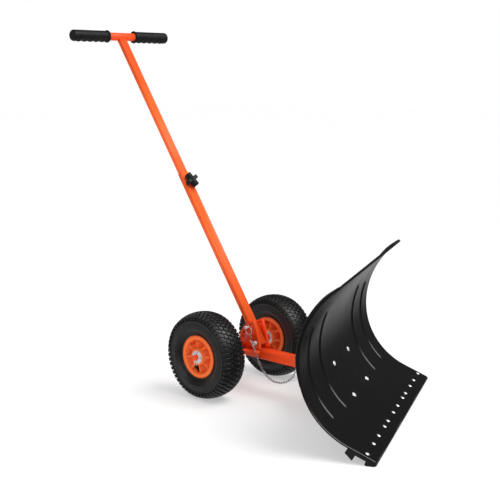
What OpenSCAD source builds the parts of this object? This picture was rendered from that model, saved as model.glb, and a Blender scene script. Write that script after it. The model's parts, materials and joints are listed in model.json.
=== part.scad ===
// Wheeled snow shovel: a curved pusher blade that swivels on a two-wheeled chassis, with a tilting,
// telescoping T handle. +Z is up, the blade is towards -Y, and the origin is the middle of the
// centre wear strip's sole on the ground.

/* [Wheels] */
// Outer radius of the tyres
tyre_r = 127; // [115:1:135]
// Distance from the middle of the object to the middle of a wheel
half_track = 152; // [145:1:170]
// Width of a tyre
tyre_w = 83; // [76:1:90]
// Radius of the rim's outer flange
rim_r = 62; // [60:1:66]
// Turn of the rim ribs about the axle
rib_turn = 9; // [0:1:44]

/* [Chassis] */
// Width of the beam that runs forward from the axle
beam_w = 44; // [40:1:50]
// Height of the beam
beam_h = 24; // [20:1:28]
// Height of the beam's top face above the ground
beam_top = 129; // [125:1:135]
// Distance from the axle forward to the kingpin that the blade swivels on
kingpin_y = 339; // [330:1:360]
// Distance from the axle forward to the handle's pivot bolt
pivot_y = 75; // [70:1:85]
// Height of the handle's pivot bolt above the beam
pivot_rise = 20; // [18:1:24]

/* [Handle] */
// Lean of the handle back from vertical, in degrees
lean = 34; // [25:1:45]
// Distance along the handle from the pivot to the cross bar
handle_l = 1077; // [1000:1:1120]
// Top end of the lower tube, measured along the handle
lower_top = 574; // [540:1:600]
// Length of the cross bar
bar_l = 380; // [340:2:420]
// Spacing of the tilt holes in the ears, in degrees
tilt_step = 14.5; // [13.5:0.5:15]

/* [Blade] */
// Width of the blade
blade_w = 737; // [720:1:760]
// Turn of the blade about the kingpin at rest, in degrees
blade_yaw = 23.4; // [15:0.1:26]
// Radius of the blade's lower curve
low_r = 210; // [205:1:215]
// Radius of the blade's upper curve
top_r = 235; // [230:1:240]
// Thickness of the blade sheet
sheet_t = 1.6; // [1.4:0.1:2.5]
// Depth of the flange bent back along the top edge
flange_h = 7; // [4:0.5:10]

/* [Hidden] */
$fn = 64;
// Overshoot of a cut past the face that it leaves
cut = 1;
orange = "#e8541e";
black = "#1c1c1e";
steel = "#b9bcc0";
rubber = "#2a2a2c";

// Chassis
beam_wall = 2;
beam_bottom = beam_top - beam_h;
beam_front = kingpin_y + 22;
axle_r = 8;
axle_bore_r = 8.05;
axle_tube_r = 13;
axle_end = half_track + 49;
cotter_x = half_track + 42;
pivot_z = beam_top + pivot_rise;
ear_t = 4;
ear_in = 16.5;
ear_out = ear_in + ear_t;
ear_r = 64.5;
tilt_r = 52;
tilt_pin_r = 4;
tilt_hole_r = 4.08;
tilt_holes = [-1, 0, 1, 2, 3];
pivot_r = 4;
gusset_reach = 58;

// Wheels: the rim and everything in it turn on the axle
rim_half = 32.5;
hub_half = 35;
hub_r = 24;
rib_count = 8;
rib_t = 4;
pocket_floor = 7;
seat_r = 58;
barrel_in_r = 50;
cup_r = 17.5;
cup_flange_r = 19;
cup_in_r = 13;
cup_l = 12;

// Handle tubes: the upper one slides inside the lower one
low_w = 32;
low_d = 16;
tube_wall = 1.2;
up_w = 29;
up_d = 13;
lower_end = -10;
upper_end = 400;
knob_s = 538;
bar_r = 12.5;
bar_wall = 1.5;
grip_r = 17;
grip_l = 140;
grip_end = 193;
knob_r = 26;
knob_low = 4;
knob_top = 28;
screw_r = 4;

// Blade profile in its own frame: Y is distance behind the kingpin, Z is height
slope = 23.7;
slope_l = 76.5;
edge_y = -209;
edge_z = 11;
low_turn = 90 - slope;
top_turn = 55.3;
slope_end = [edge_y + slope_l * cos(slope), edge_z + slope_l * sin(slope)];
low_c = [slope_end[0] - low_r * sin(slope), slope_end[1] + low_r * cos(slope)];
top_c = [low_c[0] + low_r - top_r, low_c[1]];
strip_pitch = 248.5;
strip_l = 242;
strip_bolt_x = [-101.8, -30, 30, 101.8];
strip_bolt_s = 29;
bolt_r = 3;
bracket_x = 77;
// Depth of the side flanges at the top corners
side_flange_h = 12;
bracket_turns = [21, 48.3];
plate_t = 4;
plate_gap = 0.4;
kingpin_r = 6;
sector_r = 92;
sector_hole_r = 75;
sector_pin_r = 4;
sector_step = 2 * blade_yaw / 6;

// Origin: middle of the centre strip's sole
sole_s = [1, 20];
sole_y = [for (s = sole_s) strip_point(s, sole_t(s))[0]];
sole_mid = (sole_y[0] + sole_y[1]) / 2;
origin_x = -sole_mid * sin(blade_yaw);
origin_y = -kingpin_y + sole_mid * cos(blade_yaw);

// Chain: points along its run from the handle pin's ring to the blade pin's ring
handle_pin = [-26, -pivot_y + tilt_r * sin(lean), pivot_z + tilt_r * cos(lean)];
blade_pin = [0, -kingpin_y + sector_hole_r, beam_top + 19];
ring_r = 11.5;
ring_wire_r = 1;
ring_drop = ring_r - 0.3;
ring_lean = 120;
ring_hole_r = 2;
// How far inside the ring's wire centre the pull of the chain ends, which seats the end link on the wire
seat_in = 1.2;
chain_from = handle_pin - (ring_drop + ring_r - seat_in) * [0, sin(lean), cos(lean)];
chain_to = blade_pin + [-ring_drop * sin(ring_lean), ring_r - seat_in, ring_drop * cos(ring_lean)];
chain_pts = [chain_from, [-30, -64, 158], [-33, -76, 144], [-34, -87, 126], [-34.5, -97, 104],
    [-34, -112, 80], [-33, -133, 60], [-32, -157, 51], [-31, -182, 52], [-30, -204, 60],
    [-29.5, -222, 74], [-29, -233, 92], [-28.5, -237, 112], [-26.5, -238, 128], [-21, -238.5, 139],
    [-14, -243, 143.5], chain_to];
chain_pitch = 9.6;
chain_wire_r = 0.9;
chain_half_w = 2.5;
// Directions of the ring wires that the first and last links hang on
chain_from_wire = [0, cos(lean), -sin(lean)];
chain_to_wire = [-sin(ring_lean), 0, cos(ring_lean)];

// Depth under the blade's front face at which a strip reaches the ground, s up the slope
function sole_t(s) = (edge_z + s * sin(slope)) / cos(slope);
function strip_point(s, t) =
    [edge_y + s * cos(slope) + t * sin(slope), edge_z + s * sin(slope) - t * cos(slope)];
// Points on an arc, from and to being angles in degrees
function arc(c, r, from, to, n = 24) =
    [for (i = [0:n]) c + r * [cos(from + (to - from) * i / n), sin(from + (to - from) * i / n)]];
function run_length(p, i = 0) = i >= len(p) - 1 ? 0 : norm(p[i + 1] - p[i]) + run_length(p, i + 1);
// Point at a given distance along a list of points
function along(p, d, i = 0) = i >= len(p) - 2 || d <= norm(p[i + 1] - p[i])
    ? p[i] + (p[i + 1] - p[i]) * d / norm(p[i + 1] - p[i])
    : along(p, d - norm(p[i + 1] - p[i]), i + 1);

// Frames
module ground_frame() {
    translate([-origin_x, -origin_y, 0]) children();
}
module handle_frame() {
    ground_frame() translate([0, -pivot_y, pivot_z]) rotate([-lean, 0, 0]) children();
}
module blade_frame() {
    ground_frame() translate([0, -kingpin_y, 0]) rotate([0, 0, blade_yaw]) children();
}
// Frame on the blade's straight lower part: Y up the slope, Z out of the front face
module slope_frame() {
    blade_frame() translate([0, edge_y, edge_z]) rotate([slope, 0, 0]) children();
}
// Wheel frame: Z points outwards along the axle, side is -1 on the left and 1 on the right
module wheel_frame(side) {
    ground_frame() translate([side * half_track, 0, tyre_r]) rotate([0, side * 90, 0]) children();
}
// Extrudes a Y-Z outline along X, centred
module extrude_x(l) {
    translate([-l / 2, 0, 0]) rotate([90, 0, 90]) linear_extrude(l) children();
}
module rod_x(r, l) {
    rotate([0, 90, 0]) cylinder(r = r, h = l, center = true);
}
module round_rect(w, d, r) {
    square([w - 2 * r, d], center = true);
    square([w, d - 2 * r], center = true);
    for (x = [-1, 1], y = [-1, 1]) translate([x * (w / 2 - r), y * (d / 2 - r)]) circle(r);
}
module hex(across, h) {
    cylinder(r = across / sqrt(3), h = h, $fn = 6);
}
// Low domed head, sitting on z = 0
module dome(r, h) {
    ball = (r * r + h * h) / (2 * h);
    intersection() {
        translate([0, 0, h - ball]) sphere(ball);
        cylinder(r = r, h = h + cut);
    }
}

// Chassis
module beam() {
    color(orange) ground_frame() difference() {
        translate([0, -beam_front, (beam_top + beam_bottom) / 2]) rotate([-90, 0, 0])
            linear_extrude(beam_front) difference() {
                round_rect(beam_w, beam_h, 3);
                round_rect(beam_w - 2 * beam_wall, beam_h - 2 * beam_wall, 1);
            }
        translate([0, 0, tyre_r]) rod_x(axle_tube_r, beam_w + 2 * cut);
        translate([-beam_w / 2 - cut, -1, 0]) cube([beam_w + 2 * cut, 2 * axle_tube_r, tyre_r]);
        translate([0, -kingpin_y, 0]) cylinder(r = 10, h = beam_top + cut);
        translate([0, -kingpin_y + sector_hole_r, 0]) cylinder(r = sector_pin_r + 0.08, h = beam_top + cut);
    }
}
module beam_end_plug() {
    color(black) ground_frame() translate([0, -beam_front, (beam_top + beam_bottom) / 2])
        rotate([-90, 0, 0]) {
            translate([0, 0, -2.5]) linear_extrude(2.5) round_rect(beam_w, beam_h, 3);
            linear_extrude(7) round_rect(beam_w - 2 * beam_wall - 0.1, beam_h - 2 * beam_wall - 0.1, 1);
        }
}
module axle_tube() {
    color(orange) ground_frame() translate([0, 0, tyre_r]) difference() {
        rod_x(axle_tube_r, 2 * (half_track - hub_half - 4));
        rod_x(axle_bore_r, 2 * half_track);
    }
}
// Sector plate beside the handle, in the Y-Z plane about the pivot
module ear_outline() {
    base = -pivot_rise;
    difference() {
        intersection() {
            union() {
                circle(ear_r);
                translate([-ear_r, base]) square([2 * ear_r, -base]);
            }
            polygon([[-22, base], [61, base], [61, 4], [ear_r, 20], [ear_r, ear_r + cut],
                [8, ear_r + cut], [2, 57], [-18, -6]]);
        }
        circle(pivot_r + 0.08);
        for (i = tilt_holes) rotate(90 - lean - i * tilt_step) translate([tilt_r, 0]) circle(tilt_hole_r);
    }
}
module ear(side) {
    color(orange) ground_frame() translate([side * (ear_in + ear_t / 2), -pivot_y, pivot_z])
        extrude_x(ear_t) ear_outline();
}
// Brace between the beam and the axle tube: a top plate with a flange that tapers outwards
module gusset(side) {
    x0 = beam_w / 2;
    x1 = x0 + gusset_reach;
    front = -94;
    tip = -axle_tube_r - 5;
    top_t = 3;
    color(orange) ground_frame() mirror_side(side) difference() {
        union() {
            translate([0, 0, beam_top - top_t]) linear_extrude(top_t)
                polygon([[x0, front], [x1, tip], [x1, -axle_tube_r / 2], [x0, -axle_tube_r / 2]]);
            intersection() {
                translate([0, 0, beam_bottom]) linear_extrude(beam_h)
                    polygon([[x0, front], [x1, tip], [x1, tip + 4], [x0, front + 5]]);
                rotate([90, 0, 0]) linear_extrude(-2 * front, center = true)
                    polygon([[x0 - cut, beam_bottom + 2], [x0 + 14, beam_bottom + 8],
                        [x0 + 36, beam_top - top_t], [x1 + cut, beam_top - top_t], [x1 + cut, beam_top],
                        [x0 - cut, beam_top]]);
            }
        }
        translate([0, 0, tyre_r]) rod_x(axle_tube_r, 2 * half_track);
    }
}
// Mirrors a right-hand piece to the left when side is -1
module mirror_side(side) {
    if (side < 0) mirror([1, 0, 0]) children();
    else children();
}
module axle() {
    color(orange) ground_frame() translate([0, 0, tyre_r]) difference() {
        rod_x(axle_r, 2 * axle_end);
        for (x = [-cotter_x, cotter_x]) translate([x, 0, 0])
            cylinder(r = 2.1, h = 3 * axle_r, center = true);
    }
}
module axle_washers() {
    gap = 1.5;
    washer_t = 2.4;
    faces = [half_track - hub_half - gap - washer_t, half_track + hub_half + gap];
    color(steel) ground_frame() translate([0, 0, tyre_r]) for (side = [-1, 1], x = faces)
        rotate([0, side * 90, 0]) translate([0, 0, x]) difference() {
            cylinder(r = 15, h = washer_t);
            translate([0, 0, -cut]) cylinder(r = axle_bore_r, h = washer_t + 2 * cut);
        }
}
// Split pin through the axle end: an eye on top and two legs bent apart below
module cotter_pin(side) {
    leg_r = 0.95;
    foot = -14;
    eye = 13.5;
    color(steel) ground_frame() translate([side * cotter_x, 0, tyre_r]) {
        for (y = [-1, 1]) {
            translate([0, y, foot]) cylinder(r = leg_r, h = eye - foot - 2);
            translate([0, y, foot]) sphere(leg_r);
            translate([0, y, foot]) rotate([-y * 150, 0, 0]) cylinder(r = leg_r, h = 9);
        }
        translate([0, 0, eye]) rotate([0, 90, 0]) rotate_extrude() translate([3, 0]) circle(leg_r);
    }
}
module pivot_bolt() {
    color(steel) ground_frame() translate([0, -pivot_y, pivot_z]) rotate([0, 90, 0]) {
        translate([0, 0, -ear_out - 0.1 - 6]) hex(13, 6);
        translate([0, 0, -ear_out - 1]) cylinder(r = pivot_r, h = 2 * ear_out + 11);
    }
}
module pivot_nut() {
    color(steel) ground_frame() translate([ear_out + 0.1, -pivot_y, pivot_z]) rotate([0, 90, 0])
        difference() {
            hex(13, 7);
            translate([0, 0, -cut]) cylinder(r = pivot_r, h = 9);
        }
}
module kingpin_bush() {
    color(steel) ground_frame() translate([0, -kingpin_y, beam_bottom]) difference() {
        cylinder(r = 10, h = beam_h);
        translate([0, 0, -cut]) cylinder(r = kingpin_r + 0.06, h = beam_h + 2 * cut);
    }
}
// One chain link along X, centred: two straight legs and two half-round ends
module link(wire, half_w, pitch) {
    straight = pitch - 2 * half_w + 2 * wire + 0.3;
    for (y = [-1, 1]) translate([-straight / 2, y * half_w, 0]) rotate([0, 90, 0])
        cylinder(r = wire, h = straight, $fn = 16);
    for (x = [-1, 1]) translate([x * straight / 2, 0, 0]) rotate([0, 0, x > 0 ? -90 : 90])
        rotate_extrude(angle = 180, $fn = 24) translate([half_w, 0]) circle(wire, $fn = 16);
}
// Turn of a link about its own direction d that sets its flat side square to a wire
function link_roll(d, wire) = let (az = atan2(d[1], d[0]), el = atan2(d[2], norm([d[0], d[1]])))
    atan2(-wire * [-sin(az), cos(az), 0], wire * [-sin(el) * cos(az), -sin(el) * sin(az), cos(el)]);
module chain() {
    total = run_length(chain_pts);
    count = floor(total / chain_pitch);
    step = total / count;
    roll_a = link_roll(along(chain_pts, step) - chain_pts[0], chain_from_wire);
    roll_b = link_roll(chain_to - along(chain_pts, total - step), chain_to_wire);
    twist = (roll_b - roll_a - 90 * (count - 1)) / 180;
    spare = 180 * (twist - round(twist));
    color(steel) ground_frame() for (i = [0:count - 1]) {
        a = along(chain_pts, i * step);
        b = along(chain_pts, (i + 1) * step);
        d = b - a;
        translate((a + b) / 2) rotate([0, -atan2(d[2], norm([d[0], d[1]])), atan2(d[1], d[0])])
            rotate([roll_a + 90 * i + spare * i / (count - 1), 0, 0])
                link(chain_wire_r, chain_half_w, norm(d));
    }
}

// Wheels
// Tyre section with R across and Z up: beads, bulged sidewalls, shoulders and a crowned tread
module tyre_section() {
    side_r = 28;
    side_c = tyre_w / 2 - side_r;
    crown_r = 99;
    difference() {
        polygon(concat([[seat_r, -24], [seat_r, -28.9]], arc([91, -side_c], side_r, 215, 285, 8),
            [[112, -side_c - 26.5]], arc([tyre_r - crown_r, 0], crown_r, -20, 20, 12),
            [[112, side_c + 26.5]], arc([91, side_c], side_r, 75, 145, 8), [[seat_r, 28.9], [seat_r, 24]]));
        translate([91, 0]) circle(31);
        translate([barrel_in_r, -20]) square([41, 40]);
    }
}
module tyre(side) {
    color(rubber) wheel_frame(side) rotate_extrude($fn = 128) tyre_section();
}
module inner_tube(side) {
    color(black) wheel_frame(side) rotate_extrude() translate([91, 0]) difference() {
        circle(30.7);
        circle(28.7);
    }
}
module rim_barrel() {
    lip = rim_half - 3.3;
    well = 54;
    rotate_extrude($fn = 96) polygon([[barrel_in_r, -rim_half], [rim_r, -rim_half], [rim_r, -lip],
        [seat_r, -lip], [seat_r, -14], [well, -11], [well, 11], [seat_r, 14], [seat_r, lip], [rim_r, lip],
        [rim_r, rim_half], [barrel_in_r, rim_half]]);
}
module rim(side) {
    color(orange) wheel_frame(side) difference() {
        union() {
            rim_barrel();
            cylinder(r = hub_r, h = 2 * hub_half, center = true);
            cylinder(r = barrel_in_r + cut, h = 2 * pocket_floor, center = true);
            for (i = [0:rib_count - 1]) rotate(rib_turn + i * 360 / rib_count)
                translate([hub_r - 2, -rib_t / 2, -rim_half + 2])
                    cube([barrel_in_r - hub_r + 3, rib_t, 2 * rim_half - 4]);
        }
        cylinder(r = cup_in_r, h = 3 * hub_half, center = true);
        for (end = [-1, 1]) translate([0, 0, end * (hub_half - cup_l / 2 + cut / 2)])
            cylinder(r = cup_r, h = cup_l + cut, center = true);
        valve_place(side) cylinder(r = 3, h = 30, center = true);
    }
}
// Frame of the valve stem: it leaves the barrel and leans in and outwards through a pocket
module valve_place(side) {
    half_pocket = 180 / rib_count;
    rotate(rib_turn + (side < 0 ? 180 : 360) - half_pocket) translate([barrel_in_r, 0, 14])
        rotate([0, -48, 0]) children();
}
module valve_stem(side) {
    color(rubber) wheel_frame(side) valve_place(side) {
        translate([0, 0, -4]) cylinder(r = 3, h = 20);
        translate([0, 0, 16]) cylinder(r = 2.4, h = 6);
    }
}
module valve_cap(side) {
    color(black) wheel_frame(side) valve_place(side) translate([0, 0, 16.2]) difference() {
        cylinder(r = 4.6, h = 11);
        translate([0, 0, -cut]) cylinder(r = 2.4, h = 7);
    }
}
// Flanged steel cup pressed into each end of the hub
module bearing_cups(side) {
    color(steel) wheel_frame(side) for (end = [0, 1]) mirror([0, 0, end])
        translate([0, 0, hub_half - cup_l]) difference() {
            union() {
                cylinder(r = cup_r, h = cup_l);
                translate([0, 0, cup_l]) cylinder(r = cup_flange_r, h = 1.2);
            }
            translate([0, 0, -cut]) cylinder(r = cup_in_r, h = cup_l + 4);
        }
}
module bearings(side) {
    color(black) wheel_frame(side) for (end = [0, 1]) mirror([0, 0, end])
        translate([0, 0, hub_half - cup_l]) difference() {
            cylinder(r = cup_in_r, h = cup_l - 1);
            translate([0, 0, -cut]) cylinder(r = axle_bore_r, h = cup_l + 2 * cut);
            translate([0, 0, cup_l - 2]) difference() {
                cylinder(r = 11.5, h = 2);
                cylinder(r = 9.7, h = 2);
            }
        }
}

// Handle
module lower_tube() {
    color(orange) handle_frame() difference() {
        translate([0, 0, lower_end]) linear_extrude(lower_top - lower_end) difference() {
            round_rect(low_w, low_d, 2.5);
            round_rect(low_w - 2 * tube_wall, low_d - 2 * tube_wall, 1.3);
        }
        rod_x(pivot_r + 1, 2 * low_w);
        translate([0, 0, tilt_r]) rod_x(tilt_hole_r + 0.3, 2 * low_w);
        translate([0, -low_d / 2, knob_s]) rotate([90, 0, 0])
            cylinder(r = screw_r + 0.08, h = 10, center = true);
    }
}
// Sleeve through the tube's foot that turns on the pivot bolt
module pivot_sleeve() {
    color(steel) handle_frame() difference() {
        rod_x(pivot_r + 1, low_w + 0.8);
        rod_x(pivot_r + 0.08, 2 * low_w);
    }
}
module clamp_boss() {
    color(orange) handle_frame() translate([0, -low_d / 2, knob_s]) rotate([90, 0, 0]) difference() {
        cylinder(r = 9, h = knob_low - 0.5);
        translate([0, 0, -cut]) cylinder(r = screw_r + 0.08, h = 10);
    }
}
module upper_tube() {
    color(orange) handle_frame() difference() {
        translate([0, 0, upper_end]) linear_extrude(handle_l - upper_end) difference() {
            round_rect(up_w, up_d, 2);
            round_rect(up_w - 2 * tube_wall, up_d - 2 * tube_wall, 0.8);
        }
        translate([0, 0, handle_l]) rod_x(bar_r, 2 * up_w);
    }
}
module guide_plug() {
    color(black) handle_frame() {
        translate([0, 0, upper_end - 4]) linear_extrude(4) round_rect(up_w, up_d, 2);
        translate([0, 0, upper_end]) linear_extrude(14)
            round_rect(up_w - 2 * tube_wall - 0.1, up_d - 2 * tube_wall - 0.1, 0.8);
    }
}
module cross_bar() {
    color(orange) handle_frame() translate([0, 0, handle_l]) difference() {
        rod_x(bar_r, bar_l);
        rod_x(bar_r - bar_wall, bar_l + 2 * cut);
    }
}
// Rubber grip: a closed sleeve with a collar at its inner end and a rounded outer end
module grip(side) {
    dome_r = 6;
    color(rubber) handle_frame() translate([0, 0, handle_l]) rotate([0, side * 90, 0]) difference() {
        translate([0, 0, grip_end - grip_l]) rotate_extrude() polygon(concat(
            [[0, 0], [grip_r + 2, 0], [grip_r + 2, 5], [grip_r, 7]],
            arc([grip_r - dome_r, grip_l - dome_r], dome_r, 0, 90, 6), [[0, grip_l]]));
        translate([0, 0, grip_end - grip_l - cut]) cylinder(r = bar_r, h = grip_l - 3 + cut);
    }
}
module knob_frame() {
    handle_frame() translate([0, -low_d / 2, knob_s]) rotate([90, 0, 0]) children();
}
// Four-armed clamp knob
module clamp_knob() {
    arm_r = 7;
    color(black) knob_frame() difference() {
        union() {
            translate([0, 0, knob_low]) cylinder(r = 13, h = knob_top - knob_low);
            for (a = [0:90:270]) rotate(a + 15) translate([0, 0, knob_low + 3]) {
                translate([0, -arm_r, 0]) cube([knob_r - arm_r, 2 * arm_r, knob_top - knob_low - 5]);
                translate([knob_r - arm_r, 0, 0]) cylinder(r = arm_r, h = knob_top - knob_low - 5);
            }
        }
        translate([0, 0, -cut]) cylinder(r = screw_r, h = 19 + cut);
    }
}
// Screw moulded into the knob: its foot stops just short of the upper tube
module clamp_screw() {
    foot = (low_d - up_d) / 2 - 0.3;
    color(steel) knob_frame() translate([0, 0, -foot]) cylinder(r = screw_r, h = foot + 19);
}

// Lock pins
// Pull pin for the tilt: its nose stands in the left ear's hole, ready to be pushed into the tube
module handle_lock_pin() {
    nose = ear_in + 0.2;
    hole_x = -handle_pin[0];
    color(steel) handle_frame() translate([0, 0, tilt_r]) rotate([0, -90, 0]) difference() {
        union() {
            translate([0, 0, nose]) cylinder(r = tilt_pin_r, h = hole_x + 6 - nose);
            translate([0, 0, hole_x + 3.5]) cylinder(r = 5.2, h = 4);
        }
        translate([0, 0, hole_x]) rotate([90, 0, 0]) cylinder(r = ring_hole_r, h = 20, center = true);
    }
}
// Round pull ring in the X-Y plane, centred
module pull_ring() {
    rotate_extrude($fn = 48) translate([ring_r, 0]) circle(ring_wire_r, $fn = 24);
}
module handle_pull_ring() {
    color(steel) handle_frame() translate([handle_pin[0], 0, tilt_r - ring_drop]) rotate([0, 90, 0])
        pull_ring();
}
module blade_lock_pin() {
    z = blade_pin[2];
    foot = beam_bottom + 3;
    collar = beam_top + plate_gap + plate_t + 0.3;
    color(steel) ground_frame() translate([blade_pin[0], blade_pin[1], 0]) difference() {
        union() {
            translate([0, 0, foot]) cylinder(r = sector_pin_r, h = z + 5 - foot);
            translate([0, 0, collar]) cylinder(r = 7, h = 3);
        }
        translate([0, 0, z]) rotate([90, 0, 0]) cylinder(r = ring_hole_r, h = 20, center = true);
    }
}
module blade_pull_ring() {
    color(steel) ground_frame() translate(blade_pin) rotate([0, -ring_lean, 0])
        translate([0, 0, ring_drop]) rotate([0, 90, 0]) pull_ring();
}

// Blade
// Sector between two angles about a point, wide enough to cover any of the blade's arcs
module sector_area(c, from, to) {
    far = 3 * top_r;
    mid = (from + to) / 2;
    translate(c) polygon([[0, 0], far * [cos(from), sin(from)], far * [cos(mid), sin(mid)],
        far * [cos(to), sin(to)]]);
}
// Part of a ring about c, from and to being angles in degrees
module ring_area(c, inner, outer, from, to) {
    intersection() {
        difference() {
            translate(c) circle(outer, $fn = 192);
            translate(c) circle(inner, $fn = 192);
        }
        sector_area(c, from, to);
    }
}
// Crescent of a side flange: nothing at the blade's rearmost line, full depth at the top corner
module side_flange_outline() {
    shift = side_flange_h / (1 - cos(top_turn));
    intersection() {
        difference() {
            translate(top_c + shift * [cos(top_turn), sin(top_turn)])
                circle(top_r + side_flange_h - shift, $fn = 192);
            translate(top_c) circle(top_r + sheet_t / 2, $fn = 192);
        }
        sector_area(top_c, 0, top_turn);
    }
}
module blade_holes() {
    slope_frame() for (k = [-1, 0, 1], x = strip_bolt_x)
        translate([k * strip_pitch + x, strip_bolt_s, -10]) cylinder(r = bolt_r + 0.1, h = 20);
    blade_frame() for (side = [-1, 1], turn = bracket_turns) bracket_axis(side, turn)
        translate([0, 0, -10]) cylinder(r = 4.1, h = 20);
}
// Axis of a bracket bolt: Z points out of the blade's front face, from the face itself
module bracket_axis(side, turn) {
    translate([side * bracket_x, low_c[0], low_c[1]]) rotate([-turn, 0, 0]) translate([0, low_r, 0])
        rotate([90, 0, 0]) children();
}
module blade() {
    color(black) difference() {
        blade_frame() {
            translate([0, edge_y, edge_z]) rotate([slope, 0, 0]) translate([0, 0, -sheet_t])
                translate([-blade_w / 2, 0, 0]) cube([blade_w, slope_l, sheet_t]);
            extrude_x(blade_w) ring_area(low_c, low_r, low_r + sheet_t, -low_turn, 0);
            extrude_x(blade_w) ring_area(top_c, top_r, top_r + sheet_t, 0, top_turn);
            extrude_x(blade_w) translate(top_c) rotate(top_turn) translate([top_r, -sheet_t])
                square([flange_h, sheet_t]);
            for (side = [-1, 1]) translate([side * (blade_w - sheet_t) / 2, 0, 0]) extrude_x(sheet_t)
                side_flange_outline();
        }
        blade_holes();
    }
}
module mount_plate() {
    color(black) difference() {
        blade_frame() extrude_x(190)
            ring_area(low_c, low_r + sheet_t, low_r + sheet_t + plate_t, -56, -13);
        blade_holes();
    }
}
// Everything in front of the mount plate's back
module mount_cut() {
    translate([0, low_c[0], low_c[1]]) rod_x(low_r + sheet_t + plate_t, blade_w);
}
// Fork plate over or under the beam, from the mount plate to its reach behind the kingpin
module fork_plate(z, reach) {
    wide = 60;
    back = low_r + sheet_t + plate_t;
    meet = low_c[0] + sqrt(back * back - pow(low_c[1] - z, 2));
    difference() {
        translate([0, 0, z]) linear_extrude(plate_t) difference() {
            union() {
                translate([-wide, meet]) square([2 * wide, -meet]);
                intersection() {
                    circle(reach);
                    translate([-wide - reach, 0]) square([2 * (wide + reach), reach]);
                }
            }
            circle(kingpin_r + 0.06);
        }
        mount_cut();
    }
}
// Upper fork plate with the row of lock holes
module fork_top() {
    color(black) blade_frame() difference() {
        fork_plate(beam_top + plate_gap, sector_r);
        for (i = [-3:3]) rotate(i * sector_step) translate([0, sector_hole_r, beam_top])
            cylinder(r = tilt_hole_r, h = 2 * plate_t);
    }
}
module fork_bottom() {
    color(black) blade_frame() fork_plate(beam_bottom - plate_gap - plate_t, 40);
}
module fork_ribs() {
    color(black) blade_frame() difference() {
        for (side = [-1, 1]) translate([side * 50, 0, 0]) extrude_x(plate_t)
            translate([-75, beam_bottom - plate_gap]) square([70, beam_h + 2 * plate_gap]);
        mount_cut();
    }
}
module kingpin_bolt() {
    top = beam_top + plate_gap + plate_t + 0.1;
    color(steel) blade_frame() {
        translate([0, 0, top]) hex(19, 8);
        translate([0, 0, beam_bottom - 18]) cylinder(r = kingpin_r, h = top - beam_bottom + 19);
    }
}
module kingpin_nut() {
    color(steel) blade_frame() translate([0, 0, beam_bottom - plate_gap - plate_t - 10.1]) difference() {
        hex(19, 10);
        translate([0, 0, -cut]) cylinder(r = kingpin_r, h = 10 + 2 * cut);
    }
}
module bracket_bolts() {
    seat = 0.3;
    color(steel) blade_frame() for (side = [-1, 1], turn = bracket_turns) bracket_axis(side, turn) {
        translate([0, 0, seat]) dome(8.5, 4);
        translate([0, 0, -16]) cylinder(r = 4, h = 17);
    }
}
module bracket_nuts() {
    color(steel) blade_frame() for (side = [-1, 1], turn = bracket_turns) bracket_axis(side, turn)
        translate([0, 0, -sheet_t - plate_t - 6.6]) difference() {
            hex(13, 6.5);
            translate([0, 0, -cut]) cylinder(r = 4, h = 9);
        }
}
// Wear strip section: a foot that stands on the ground, a web for the bolts and a rear rib
module strip_outline() {
    web = 10;
    polygon([for (p = [[0, sheet_t], [-3.5, sheet_t], [-3.5, 7], [sole_s[0], sole_t(sole_s[0])],
        [sole_s[1], sole_t(sole_s[1])], [24, 18], [24, web], [53, web], [54, 26], [78, 17], [75, sheet_t]])
        strip_point(p[0], p[1])]);
}
module wear_strip(k) {
    color(rubber) difference() {
        blade_frame() translate([k * strip_pitch, 0, 0]) extrude_x(strip_l) strip_outline();
        slope_frame() for (x = strip_bolt_x) translate([k * strip_pitch + x, strip_bolt_s, -20])
            cylinder(r = bolt_r + 0.1, h = 20);
    }
}
module strip_bolts() {
    color(steel) slope_frame() for (k = [-1, 0, 1], x = strip_bolt_x)
        translate([k * strip_pitch + x, strip_bolt_s, 0]) {
            dome(7, 3.5);
            translate([0, 0, -18]) cylinder(r = bolt_r, h = 19);
        }
}
module strip_nuts() {
    color(steel) slope_frame() for (k = [-1, 0, 1], x = strip_bolt_x)
        translate([k * strip_pitch + x, strip_bolt_s, -15.1]) difference() {
            hex(10, 5);
            translate([0, 0, -cut]) cylinder(r = bolt_r, h = 5 + 2 * cut);
        }
}

beam();
beam_end_plug();
axle_tube();
ear(-1);  // ear_left
ear(1);  // ear_right
gusset(-1);  // gusset_left
gusset(1);  // gusset_right
axle();
axle_washers();
cotter_pin(-1);  // cotter_pin_left
cotter_pin(1);  // cotter_pin_right
pivot_bolt();
pivot_nut();
kingpin_bush();
chain();
tyre(-1);  // tyre_left
inner_tube(-1);  // inner_tube_left
rim(-1);  // rim_left
bearing_cups(-1);  // bearing_cups_left
bearings(-1);  // bearings_left
valve_stem(-1);  // valve_stem_left
valve_cap(-1);  // valve_cap_left
tyre(1);  // tyre_right
inner_tube(1);  // inner_tube_right
rim(1);  // rim_right
bearing_cups(1);  // bearing_cups_right
bearings(1);  // bearings_right
valve_stem(1);  // valve_stem_right
valve_cap(1);  // valve_cap_right
lower_tube();
pivot_sleeve();
clamp_boss();
upper_tube();
guide_plug();
cross_bar();
grip(-1);  // grip_left
grip(1);  // grip_right
clamp_knob();
clamp_screw();
handle_lock_pin();
handle_pull_ring();
blade_lock_pin();
blade_pull_ring();
blade();
mount_plate();
fork_top();
fork_bottom();
fork_ribs();
kingpin_bolt();
kingpin_nut();
bracket_bolts();
bracket_nuts();
wear_strip(-1);  // wear_strip_left
wear_strip(0);  // wear_strip_middle
wear_strip(1);  // wear_strip_right
strip_bolts();
strip_nuts();
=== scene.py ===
import json
import math
import bpy
import numpy as np
from mathutils import Matrix, Vector


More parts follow.
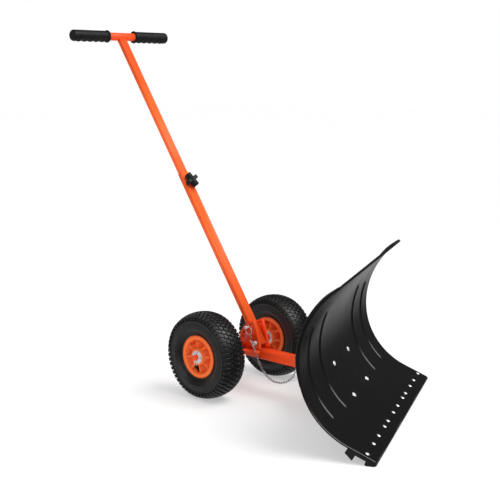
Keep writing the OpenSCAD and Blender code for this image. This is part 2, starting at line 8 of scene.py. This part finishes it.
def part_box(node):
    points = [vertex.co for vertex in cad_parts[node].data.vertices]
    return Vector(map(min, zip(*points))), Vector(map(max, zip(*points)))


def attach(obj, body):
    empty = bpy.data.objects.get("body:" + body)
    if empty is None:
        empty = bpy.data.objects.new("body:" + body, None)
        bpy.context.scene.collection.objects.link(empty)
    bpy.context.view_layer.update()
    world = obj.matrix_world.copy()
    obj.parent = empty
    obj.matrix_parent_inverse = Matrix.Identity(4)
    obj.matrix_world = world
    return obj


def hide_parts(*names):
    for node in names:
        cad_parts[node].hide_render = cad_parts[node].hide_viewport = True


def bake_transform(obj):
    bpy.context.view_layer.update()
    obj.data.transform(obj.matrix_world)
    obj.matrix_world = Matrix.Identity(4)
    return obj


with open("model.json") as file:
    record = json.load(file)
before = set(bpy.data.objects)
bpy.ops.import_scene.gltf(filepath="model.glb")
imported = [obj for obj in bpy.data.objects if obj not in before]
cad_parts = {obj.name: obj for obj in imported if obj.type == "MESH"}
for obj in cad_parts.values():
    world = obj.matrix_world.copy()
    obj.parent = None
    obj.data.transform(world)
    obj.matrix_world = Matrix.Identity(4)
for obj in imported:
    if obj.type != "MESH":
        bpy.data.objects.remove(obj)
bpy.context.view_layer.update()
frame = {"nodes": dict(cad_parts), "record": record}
nodes = frame["nodes"]

# ---------------------------------------------------------------- places
# Points closer together than this are one point
SAME_PLACE = 0.00001
a_lo, a_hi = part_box("axle")
AXLE = (a_lo + a_hi) / 2
HALF_TRACK = 0.152
LEAN = math.radians(34)
YAW = math.radians(23.4)
# Handle pivot, and the places along the handle of the knob and the cross bar
PIVOT = AXLE + Vector((0, -0.075, 0.022))
KNOB_UP = 0.538
CROSS_BAR_UP = 1.077
HANDLE = Matrix.Translation(PIVOT) @ Matrix.Rotation(-LEAN, 4, "X")
KING = Vector((AXLE.x, AXLE.y - 0.339, 0))
BLADE = Matrix.Translation(KING) @ Matrix.Rotation(YAW, 4, "Z")


# ---------------------------------------------------------------- materials
class Nodes:
    """Builds one material's node tree."""

    def __init__(self, name):
        self.m = bpy.data.materials.new(name)
        self.m.use_nodes = True
        self.t = self.m.node_tree
        self.bsdf = self.t.nodes["Principled BSDF"]
        self.where = self.t.nodes.new("ShaderNodeTexCoord").outputs["Object"]

    def add(self, kind, **values):
        n = self.t.nodes.new(kind)
        for k, v in values.items():
            if k[0].isupper():
                n.inputs[k.replace("_", " ")].default_value = v
            else:
                setattr(n, k, v)
        return n

    def link(self, a, b):
        self.t.links.new(a, b)

    def noise(self, scale, detail=3, rough=0.5):
        n = self.add("ShaderNodeTexNoise", Scale=scale, Detail=detail, Roughness=rough)
        self.link(self.where, n.inputs["Vector"])
        return n.outputs[0]

    def span(self, value, from_lo, from_hi, to_lo, to_hi):
        n = self.add("ShaderNodeMapRange")
        for i, v in enumerate((from_lo, from_hi, to_lo, to_hi), 1):
            n.inputs[i].default_value = v
        self.link(value, n.inputs[0])
        return n.outputs[0]

    def mix(self, share, a, b):
        n = self.add("ShaderNodeMix", data_type="RGBA")
        self.link(share, n.inputs[0])
        for socket, v in ((n.inputs[6], a), (n.inputs[7], b)):
            if isinstance(v, bpy.types.NodeSocket):
                self.link(v, socket)
            else:
                socket.default_value = (*v, 1)
        return n.outputs[2]

    def bump(self, height, strength, distance, under=None):
        n = self.add("ShaderNodeBump", Strength=strength, Distance=distance)
        self.link(height, n.inputs["Height"])
        if under is not None:
            self.link(under, n.inputs["Normal"])
        return n.outputs[0]

    def edge(self, radius):
        n = self.add("ShaderNodeBevel", samples=4)
        n.inputs["Radius"].default_value = radius
        return n.outputs[0]


def surface(name, base, shade, rough, spread=0.08, metal=0.0, shine=0.5, grain=900.0,
            grain_depth=0.00004, patch=14.0, edge=0.0006, dust=0.12, dust_colour=(0.45, 0.42, 0.38)):
    """Paint, plastic, rubber or metal: patches of tone, a fine grain, rounded edges, dust and rubbed spots."""
    k = Nodes(name)
    tone = k.span(k.noise(patch, 4, 0.6), 0.35, 0.65, 0, 1)
    colour = k.mix(tone, base, shade)
    specks = k.span(k.noise(75, 6, 0.7), 0.54, 0.8, 0, dust)
    colour = k.mix(specks, colour, dust_colour)
    k.link(colour, k.bsdf.inputs["Base Color"])
    k.link(k.span(k.noise(patch * 3, 5, 0.65), 0.3, 0.7, rough - spread, rough + spread),
           k.bsdf.inputs["Roughness"])
    k.bsdf.inputs["Metallic"].default_value = metal
    k.bsdf.inputs["Specular IOR Level"].default_value = shine
    rounded = k.edge(edge) if edge else None
    k.link(k.bump(k.noise(grain, 2), 0.25, grain_depth, rounded), k.bsdf.inputs["Normal"])
    return k.m


orange = surface("orange_paint", (0.90, 0.074, 0.008), (0.86, 0.062, 0.007), 0.42, shine=0.3,
                 grain=420, edge=0.0012, dust=0.03)
# Painted light: the tubes get a lighter copy of the orange paint, standing in for their more brightly lit front
# faces; it is the same paint as the beam and ears
tube_paint_painted_light = surface("tube_paint_painted_light", (0.94, 0.125, 0.020), (0.91, 0.110, 0.017), 0.44, shine=0.3,
                     grain=420, edge=0.0016, dust=0.03)
rim_plastic = surface("rim_plastic", (1.0, 0.165, 0.022), (0.96, 0.145, 0.018), 0.42, shine=0.4, grain=700,
                      edge=0.0012, dust=0.05)
gloss_black = surface("gloss_black", (0.0045, 0.0045, 0.0050), (0.0060, 0.0060, 0.0065), 0.2, 0.03, shine=0.55,
                      grain=330, grain_depth=0.00004, patch=5, edge=0.0008, dust=0.006)
zinc = surface("zinc", (0.95, 0.96, 0.98), (0.82, 0.84, 0.87), 0.24, 0.08, metal=0.45, patch=60, grain=1300,
               grain_depth=0.00003, edge=0.0005, dust=0.05)
chain_zinc = surface("chain_zinc", (0.50, 0.51, 0.53), (0.34, 0.35, 0.37), 0.26, 0.1, metal=0.7, patch=90, grain=1300,
                     grain_depth=0.00003, edge=0.0003, dust=0.08, dust_colour=(0.12, 0.115, 0.11))
tyre_rubber = surface("tyre_rubber", (0.008, 0.008, 0.0085), (0.014, 0.014, 0.015), 0.42, 0.1, shine=0.5, patch=24,
                      grain=1500, grain_depth=0.0001, edge=0.0006, dust=0.10, dust_colour=(0.07, 0.068, 0.065))
grip_rubber = surface("grip_rubber", (0.008, 0.008, 0.009), (0.013, 0.013, 0.014), 0.44, 0.08, shine=0.22, patch=40,
                      grain=1600, grain_depth=0.0001, edge=0, dust=0.06, dust_colour=(0.06, 0.06, 0.06))
strip_rubber = surface("strip_rubber", (0.007, 0.007, 0.008), (0.012, 0.012, 0.013), 0.5, 0.1, shine=0.3, patch=20,
                       grain=1100, edge=0.0008, dust=0.12, dust_colour=(0.10, 0.095, 0.09))
black_plastic = surface("black_plastic", (0.007, 0.007, 0.008), (0.012, 0.012, 0.013), 0.38, 0.08, shine=0.25,
                        patch=60, grain=1400, edge=0.0008, dust=0.05, dust_colour=(0.09, 0.09, 0.09))

LOOK = {"orange_paint": orange, "black_paint": gloss_black, "zinc": zinc, "tyre_rubber": tyre_rubber,
        "grip_rubber": grip_rubber, "strip_rubber": strip_rubber, "rim_plastic": rim_plastic,
        "black_plastic": black_plastic}
slots = {s["node"]: s["material_slot"] for s in frame["record"]["subparts"]}
for name, o in nodes.items():
    o.data.materials.clear()
    # The two tubes take the lighter orange copy, which is painted light
    o.data.materials.append(tube_paint_painted_light if name in ("lower_tube", "upper_tube") else LOOK[slots[name]])
    weld = o.modifiers.new("weld", "WELD")
    weld.merge_threshold = SAME_PLACE
    o.data.polygons.foreach_set("use_smooth", [True] * len(o.data.polygons))


# ---------------------------------------------------------------- mesh helpers
def mesh_object(name, points, faces, material, body, place=None, stands_for=(), angle=40):
    """A mesh from points in metres, put in place, smooth below an edge angle, riding on a body."""
    me = bpy.data.meshes.new(name)
    me.from_pydata([tuple(p) for p in points], [], [tuple(f) for f in faces])
    me.validate()
    if place is not None:
        me.transform(place)
    me.materials.append(material)
    me.polygons.foreach_set("use_smooth", [True] * len(me.polygons))
    me.set_sharp_from_angle(angle=math.radians(angle))
    o = bpy.data.objects.new(name, me)
    bpy.context.scene.collection.objects.link(o)
    if stands_for:
        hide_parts(*stands_for)
    if body:
        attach(o, body)
    return o


def grid_faces(rows, cols, wrap_cols=False, wrap_rows=False, start=0):
    """Quads over a rows by cols grid of points."""
    out = []
    for i in range(rows if wrap_rows else rows - 1):
        for j in range(cols if wrap_cols else cols - 1):
            k = (i + 1) % rows
            m = (j + 1) % cols
            out.append((start + i * cols + j, start + k * cols + j, start + k * cols + m, start + i * cols + m))
    return out


def smoothstep(a, b, x):
    """0 below a, 1 above b and a smooth rise between."""
    t = np.clip((x - a) / (b - a), 0, 1)
    return t * t * (3 - 2 * t)


def arc(c, r, start, end, n):
    """n points on an arc about c, from one angle to another in degrees."""
    a = np.radians(np.linspace(start, end, n))
    return [(c[0] + r * math.cos(t), c[1] + r * math.sin(t)) for t in a]


def smooth_by_angle(o, degrees):
    """Smooth shading on a CAD node, with its sharp edges kept."""
    o.data.set_sharp_from_angle(angle=math.radians(degrees))


# ---------------------------------------------------------------- tyres
TYRE_R = 0.127
CROWN_C, CROWN_R = 0.028, 0.099
PITCHES = 54


def crown(z):
    """Radius of the tread's surface at a distance z from the tyre's middle."""
    return CROWN_C + math.sqrt(CROWN_R ** 2 - z * z)


def tyre(side, label):
    """Carcass with sidewall rings, and staggered tread blocks standing on it."""
    groove = 0.0042
    half = [(0.058, 0.0289), (0.0605, 0.0292), (0.0640, 0.0300), (0.0665, 0.0312)]
    half += [(0.0680, 0.0305)] + arc((0.091, 0.0135), 0.028, 141, 112, 8)
    half += [(0.0835, 0.0412), (0.0850, 0.0420), (0.0868, 0.0415)] + arc((0.091, 0.0135), 0.028, 95, 72, 6)
    half += [(0.1015, 0.0404), (0.1030, 0.0413), (0.1050, 0.0412), (0.1062, 0.0398), (0.1085, 0.0382)]
    half += [(crown(z) - groove, z) for z in (0.0345, 0.030, 0.024, 0.016, 0.008, 0.0)]
    profile = half + [(r, -z) for r, z in half[-2::-1]]
    around = 216
    pts = []
    for i in range(around):
        a = 2 * math.pi * i / around
        pts += [(r * math.cos(a), r * math.sin(a), z) for r, z in profile]
    faces = grid_faces(around, len(profile), wrap_rows=True)
    rows = [(-0.0300, 0.0054, 0.0), (-0.0185, 0.0048, 0.5), (-0.0062, 0.0052, 0.0), (0.0062, 0.0052, 0.5),
            (0.0185, 0.0048, 0.0), (0.0300, 0.0054, 0.5)]
    for z0, half_w, shift in rows:
        edge = abs(z0) > 0.025
        for i in range(PITCHES):
            a0 = 2 * math.pi * (i + shift) / PITCHES
            base = len(pts)
            long = 0.0049 if i % 2 else 0.0053
            skew = 0.0012 * (1 if z0 > 0 else -1)
            for level, (drop, grow) in enumerate(((groove + 0.001, 0.0006), (0.0008, 0.0), (0.0, -0.0008))):
                for cz, ca in ((-1, -1), (1, -1), (1, 1), (-1, 1)):
                    z = z0 + cz * (half_w + grow)
                    if edge and cz * z0 > 0:
                        z += math.copysign(0.0036 + 0.0012 * (level == 0), z0)
                    top = crown(min(abs(z), 0.0345)) - drop
                    if edge and cz * z0 > 0:
                        top -= 0.0022
                    ang = a0 + (ca * (long + grow) + cz * skew) / TYRE_R
                    pts.append((top * math.cos(ang), top * math.sin(ang), z))
            for lv in (0, 4):
                for j in range(4):
                    k = (j + 1) % 4
                    faces.append((base + lv + j, base + lv + k, base + lv + 4 + k, base + lv + 4 + j))
            faces.append((base + 8, base + 9, base + 10, base + 11))
            if edge:
                base = len(pts)
                s = math.copysign(1, z0)
                ang = a0 + (0 if i % 2 else 0.004)
                lug = 0.0040
                for r, z in ((0.1065, 0.0385), (0.1085, 0.0412), (0.1178, 0.0392)):
                    for ca in (-1, 1):
                        t = ang + ca * lug / TYRE_R
                        pts.append((r * math.cos(t), r * math.sin(t), s * z))
                for r, z in ((0.1065, 0.0350), (0.1178, 0.0340)):
                    for ca in (-1, 1):
                        t = ang + ca * lug / TYRE_R
                        pts.append((r * math.cos(t), r * math.sin(t), s * z))
                faces += [(base, base + 1, base + 3, base + 2), (base + 2, base + 3, base + 5, base + 4),
                          (base, base + 2, base + 4, base + 8, base + 6),
                          (base + 1, base + 7, base + 9, base + 5, base + 3)]
    centre = Matrix.Translation((AXLE.x + side * HALF_TRACK, AXLE.y, AXLE.z))
    place = centre @ Matrix.Rotation(side * math.pi / 2, 4, "Y")
    return mesh_object(f"tyre_{label}_tread", pts, faces, tyre_rubber, f"wheel_{label}", place,
                       [f"tyre_{label}"], 34)


tyre(-1, "left")
tyre(1, "right")

# ---------------------------------------------------------------- blade sheet
SLOPE = math.radians(23.7)
SLOPE_L = 0.0765
EDGE = np.array((-0.209, 0.011))
LOW_R, TOP_R = 0.210, 0.235
TOP_TURN = 55.3
HALF_W = 0.3685
SHEET_T = 0.0016
slope_end = EDGE + SLOPE_L * np.array((math.cos(SLOPE), math.sin(SLOPE)))
LOW_C = slope_end + LOW_R * np.array((-math.sin(SLOPE), math.cos(SLOPE)))
TOP_C = LOW_C + np.array((LOW_R - TOP_R, 0))


def blade_rows():
    """Up the front face: point, backward normal, angle in degrees from the rearmost line, top flange depth."""
    back = np.array((math.sin(SLOPE), -math.cos(SLOPE)))
    rows = [(EDGE + s * np.array((math.cos(SLOPE), math.sin(SLOPE))), back, -90.0, 0.0)
            for s in np.linspace(0, SLOPE_L, 14)[:-1]]
    for t in np.linspace(math.degrees(SLOPE) - 90, 0, 62)[:-1]:
        n = np.array((math.cos(math.radians(t)), math.sin(math.radians(t))))
        rows.append((LOW_C + LOW_R * n, n, t, 0.0))
    for t in np.linspace(0, TOP_TURN, 52)[:-1]:
        n = np.array((math.cos(math.radians(t)), math.sin(math.radians(t))))
        rows.append((TOP_C + TOP_R * n, n, t, 0.0))
    n = np.array((math.cos(math.radians(TOP_TURN)), math.sin(math.radians(TOP_TURN))))
    up = np.array((-n[1], n[0]))
    top = TOP_C + TOP_R * n
    bend = 0.0025
    for a in np.radians((0, 30, 60, 90)):
        rows.append((top - bend * up * (1 - math.sin(a)) + bend * n * (1 - math.cos(a)), n, TOP_TURN,
                     bend * (1 - math.cos(a))))
    for d in (0.0045, 0.0065):
        rows.append((top + n * d, n, TOP_TURN, d))
    return rows


def blade_columns():
    """(distance across, share of the side bend, share of the side flange) from one edge to the other."""
    xs = set(np.round(np.linspace(-0.36, 0.36, 61), 5))
    for bead in (-0.286, -0.178, 0.178, 0.286):
        xs |= set(np.round(bead + np.linspace(-0.008, 0.008, 13), 5))
    bend = 0.003
    mid = [(x, 0.0, 0.0) for x in sorted(xs)]
    turn = [(HALF_W - bend + bend * math.sin(a), bend * (1 - math.cos(a)), 0.0)
            for a in np.radians((0, 22, 45, 68, 90))]
    end = turn + [(HALF_W, bend, 0.5), (HALF_W, bend, 1.0)]
    return [(-x, d, f) for x, d, f in end[::-1]] + mid + end


def bead_height(x, t):
    """How far the pressed beads stand out of the front face."""
    out = 0.0
    for at, low, high in ((0.178, -51, 24), (0.286, -49, 21)):
        across = abs(abs(x) - at) / 0.0056
        if across < 1:
            fade = smoothstep(low, low + 3, t) * (1 - smoothstep(high - 3, high, t))
            out += 0.0030 * (0.5 + 0.5 * math.cos(math.pi * across)) * fade
    return out


def blade_sheet():
    """The front face as a grid, with its bent edges, given the sheet's thickness backwards."""
    rows, cols = blade_rows(), blade_columns()
    pts = []
    for p, n, t, deep in rows:
        depth = 0.0025 + 0.0075 * smoothstep(-20, 15, t) * (1 - 0.35 * smoothstep(TOP_TURN - 12, TOP_TURN, t))
        for x, d, f in cols:
            back = max(d + f * (depth - d) - deep, 0) - bead_height(x, t)
            back -= deep * 0.75 * smoothstep(HALF_W - 0.14, HALF_W, x)
            pts.append((x, p[0] + back * n[0], p[1] + back * n[1]))
    o = mesh_object("blade_sheet", pts, grid_faces(len(rows), len(cols)), gloss_black, None, BLADE,
                    ["blade"], 50)
    thick = o.modifiers.new("thickness", "SOLIDIFY")
    thick.thickness = SHEET_T
    thick.offset = -1
    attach(o, "blade_head")
    return o


blade_sheet()


# ---------------------------------------------------------------- grips
def grip(side, label):
    """Rubber grip: flared collar, smooth back, finger hollows underneath, closed rounded end."""
    long = 0.140
    start = 0.053
    ends = [(0.0, 0.0130), (0.0, 0.0175), (0.0008, 0.0190), (0.0022, 0.0196), (0.0036, 0.0190), (0.0044, 0.0172),
            (0.0058, 0.0158), (0.0072, 0.0160), (0.0088, 0.0172)]
    mids = [(s, 0.0174) for s in np.linspace(0.011, 0.128, 96)]
    tips = [(long - 0.007 + 0.007 * math.sin(a), 0.0174 - 0.007 * (1 - math.cos(a)))
            for a in np.radians(np.linspace(0, 90, 9))]
    tips += [(long, 0.006), (long, 0.0005)]
    profile = ends + mids + tips
    around = 56
    pts = []
    for s, r in profile:
        for j in range(around):
            a = 2 * math.pi * j / around
            under = max(0.0, -math.sin(a - math.radians(20))) ** 0.8
            hollow = 0.0
            if 0.012 < s < 0.127:
                hollow = 0.0050 * (1 - abs(math.sin(math.pi * (s - 0.012) / 0.023))) ** 1.1 - 0.0012
            rr = r - under * hollow
            pts.append((side * (start + s), rr * math.cos(a), rr * math.sin(a)))
    place = Matrix.Translation(HANDLE @ Vector((0, 0, CROSS_BAR_UP)))
    return mesh_object(f"grip_{label}_sleeve", pts, grid_faces(len(profile), around, wrap_cols=True), grip_rubber,
                       "upper_handle", place, [f"grip_{label}"], 50)


grip(-1, "left")
grip(1, "right")


# ---------------------------------------------------------------- clamp knob
def knob():
    """Four square arms round a hub with a dished top, centred on the clamp screw."""
    around = 192
    levels = [(0.0040, 0.60), (0.0043, 0.84), (0.0058, 0.94), (0.009, 0.985), (0.015, 1.0), (0.0200, 0.985),
              (0.0226, 0.94), (0.0239, 0.86), (0.0243, 0.74), (0.0241, 0.5), (0.0228, 0.42), (0.0226, 0.2),
              (0.0226, 0.01)]
    pts = []
    for z, share in levels:
        for j in range(around):
            a = 2 * math.pi * j / around
            q = (a - math.radians(22) + math.pi / 4) % (math.pi / 2) - math.pi / 4
            arm = min(0.0232 / math.cos(q), 0.0062 / max(abs(math.sin(q)), 0.01))
            r = 0.0095 + (arm - 0.0095) * smoothstep(0.3, 0.7, share)
            pts.append((r * share * math.cos(a), r * share * math.sin(a), z))
    place = HANDLE @ Matrix.Translation((0, -0.008, KNOB_UP)) @ Matrix.Rotation(math.pi / 2, 4, "X")
    return mesh_object("knob_arms", pts, grid_faces(len(levels), around, wrap_cols=True), black_plastic, "knob",
                       place, ["clamp_knob"], 45)


knob()


# ---------------------------------------------------------------- chain
def chain_half(label, rear_half):
    """The links behind or in front of the chain's middle, taken from the CAD chain."""
    src = nodes["chain"].data
    co = np.array([v.co for v in src.vertices])
    middle = (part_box("chain")[0].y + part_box("chain")[1].y) / 2
    keep = []
    for part in link_parts(src):
        front = co[part][:, 1].mean() < middle
        if front != rear_half:
            keep += list(part)
    keep = set(keep)
    order = {v: i for i, v in enumerate(sorted(keep))}
    faces = [[order[v] for v in p.vertices] for p in src.polygons if p.vertices[0] in keep]
    o = mesh_object(f"chain_{label}", [co[v] for v in sorted(keep)], faces, chain_zinc, None, None, [], 60)
    weld = o.modifiers.new("weld", "WELD")
    weld.merge_threshold = SAME_PLACE
    return o


def link_parts(me):
    """Groups of vertices that hang together, with vertices in the same place counted as one."""
    parent = list(range(len(me.vertices)))

    def root(i):
        while parent[i] != i:
            parent[i] = parent[parent[i]]
            i = parent[i]
        return i

    seen = {}
    for v in me.vertices:
        key = tuple(round(c, 6) for c in v.co)
        parent[root(v.index)] = root(seen.setdefault(key, v.index))
    for e in me.edges:
        parent[root(e.vertices[0])] = root(e.vertices[1])
    groups = {}
    for v in me.vertices:
        groups.setdefault(root(v.index), []).append(v.index)
    return [np.array(g) for g in groups.values()]


rear = chain_half("rear", True)
front = chain_half("front", False)
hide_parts("chain")
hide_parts("chain")
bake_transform(rear)
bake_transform(front)

# ---------------------------------------------------------------- CAD nodes
for name, o in nodes.items():
    if not o.hide_render:
        smooth_by_angle(o, 32)

# ---------------------------------------------------------------- floor, light and camera
FLOOR = 20
floor_points = [(-FLOOR, -FLOOR, 0), (FLOOR, -FLOOR, 0), (FLOOR, FLOOR, 0), (-FLOOR, FLOOR, 0)]
floor_mesh = bpy.data.meshes.new("floor")
floor_mesh.from_pydata(floor_points, [], [(0, 1, 2, 3)])
floor_look = Nodes("floor")
floor_grey = floor_look.mix(floor_look.noise(3), (0.56, 0.56, 0.56), (0.53, 0.53, 0.53))
floor_look.link(floor_grey, floor_look.bsdf.inputs["Base Color"])
floor_look.bsdf.inputs["Roughness"].default_value = 0.8
# A glow of its own keeps the floor pale and its shadows light
floor_look.bsdf.inputs["Emission Color"].default_value = (1, 1, 1, 1)
floor_look.bsdf.inputs["Emission Strength"].default_value = 0.42
floor_mesh.materials.append(floor_look.m)
floor = bpy.data.objects.new("floor", floor_mesh)
bpy.context.scene.collection.objects.link(floor)
floor.visible_glossy = False

# The surroundings: white to the camera, dimmer as light, and in reflections brighter from low behind
world = bpy.data.worlds.new("studio")
world.use_nodes = True
sky = world.node_tree.nodes["Background"]
sky.inputs[0].default_value = (1, 1, 1, 1)
seen = world.node_tree.nodes.new("ShaderNodeLightPath")
plain = world.node_tree.nodes.new("ShaderNodeMapRange")
plain.inputs[3].default_value = 0.64
plain.inputs[4].default_value = 1.0
toward = world.node_tree.nodes.new("ShaderNodeTexCoord")
low_back = world.node_tree.nodes.new("ShaderNodeVectorMath")
low_back.operation = "DOT_PRODUCT"
low_back.inputs[1].default_value = (0, 0.6, -0.8)
below = world.node_tree.nodes.new("ShaderNodeMapRange")
below.interpolation_type = "SMOOTHSTEP"
for k, value in enumerate((0.16, 0.62, 0.05, 0.5)):
    below.inputs[k + 1].default_value = value
shiny = world.node_tree.nodes.new("ShaderNodeMix")
world.node_tree.links.new(toward.outputs["Generated"], low_back.inputs[0])
world.node_tree.links.new(low_back.outputs["Value"], below.inputs[0])
world.node_tree.links.new(seen.outputs["Is Camera Ray"], plain.inputs[0])
world.node_tree.links.new(seen.outputs["Is Glossy Ray"], shiny.inputs[0])
world.node_tree.links.new(plain.outputs[0], shiny.inputs[2])
world.node_tree.links.new(below.outputs[0], shiny.inputs[3])
world.node_tree.links.new(shiny.outputs[0], sky.inputs[1])
bpy.context.scene.world = world
bpy.context.scene.view_settings.view_transform = "Standard"


def area_light(name, place, aim, size, power):
    """A rectangular light at a place, facing another."""
    data = bpy.data.lights.new(name, "AREA")
    data.shape = "RECTANGLE"
    data.size, data.size_y = size
    data.energy = power
    o = bpy.data.objects.new(name, data)
    o.location = place
    o.rotation_euler = (Vector(aim) - Vector(place)).to_track_quat("-Z", "Y").to_euler()
    bpy.context.scene.collection.objects.link(o)


area_light("overhead", (0.3, -0.9, 2.6), (0, 0.1, 0.3), (1.6, 1.6), 22)
area_light("left", (-2.6, 0.4, 0.9), (0, 0.45, 0.2), (1.6, 1.2), 9)
sun = bpy.data.objects.new("sun", bpy.data.lights.new("sun", "SUN"))
sun.data.energy = 2.1
sun.data.angle = math.radians(50)
sun.rotation_euler = Vector((-0.25, 0.62, -0.75)).to_track_quat("-Z", "Y").to_euler()
bpy.context.scene.collection.objects.link(sun)

camera = bpy.data.objects.new("camera", bpy.data.cameras.new("camera"))
camera.location = (-2.2171, -1.4829, 0.9256)
camera.rotation_euler = Vector((0.72566, 0.66620, -0.17206)).to_track_quat("-Z", "Y").to_euler()
camera.data.lens = 72.6
camera.data.sensor_width = 36
bpy.context.scene.collection.objects.link(camera)
bpy.context.scene.camera = camera
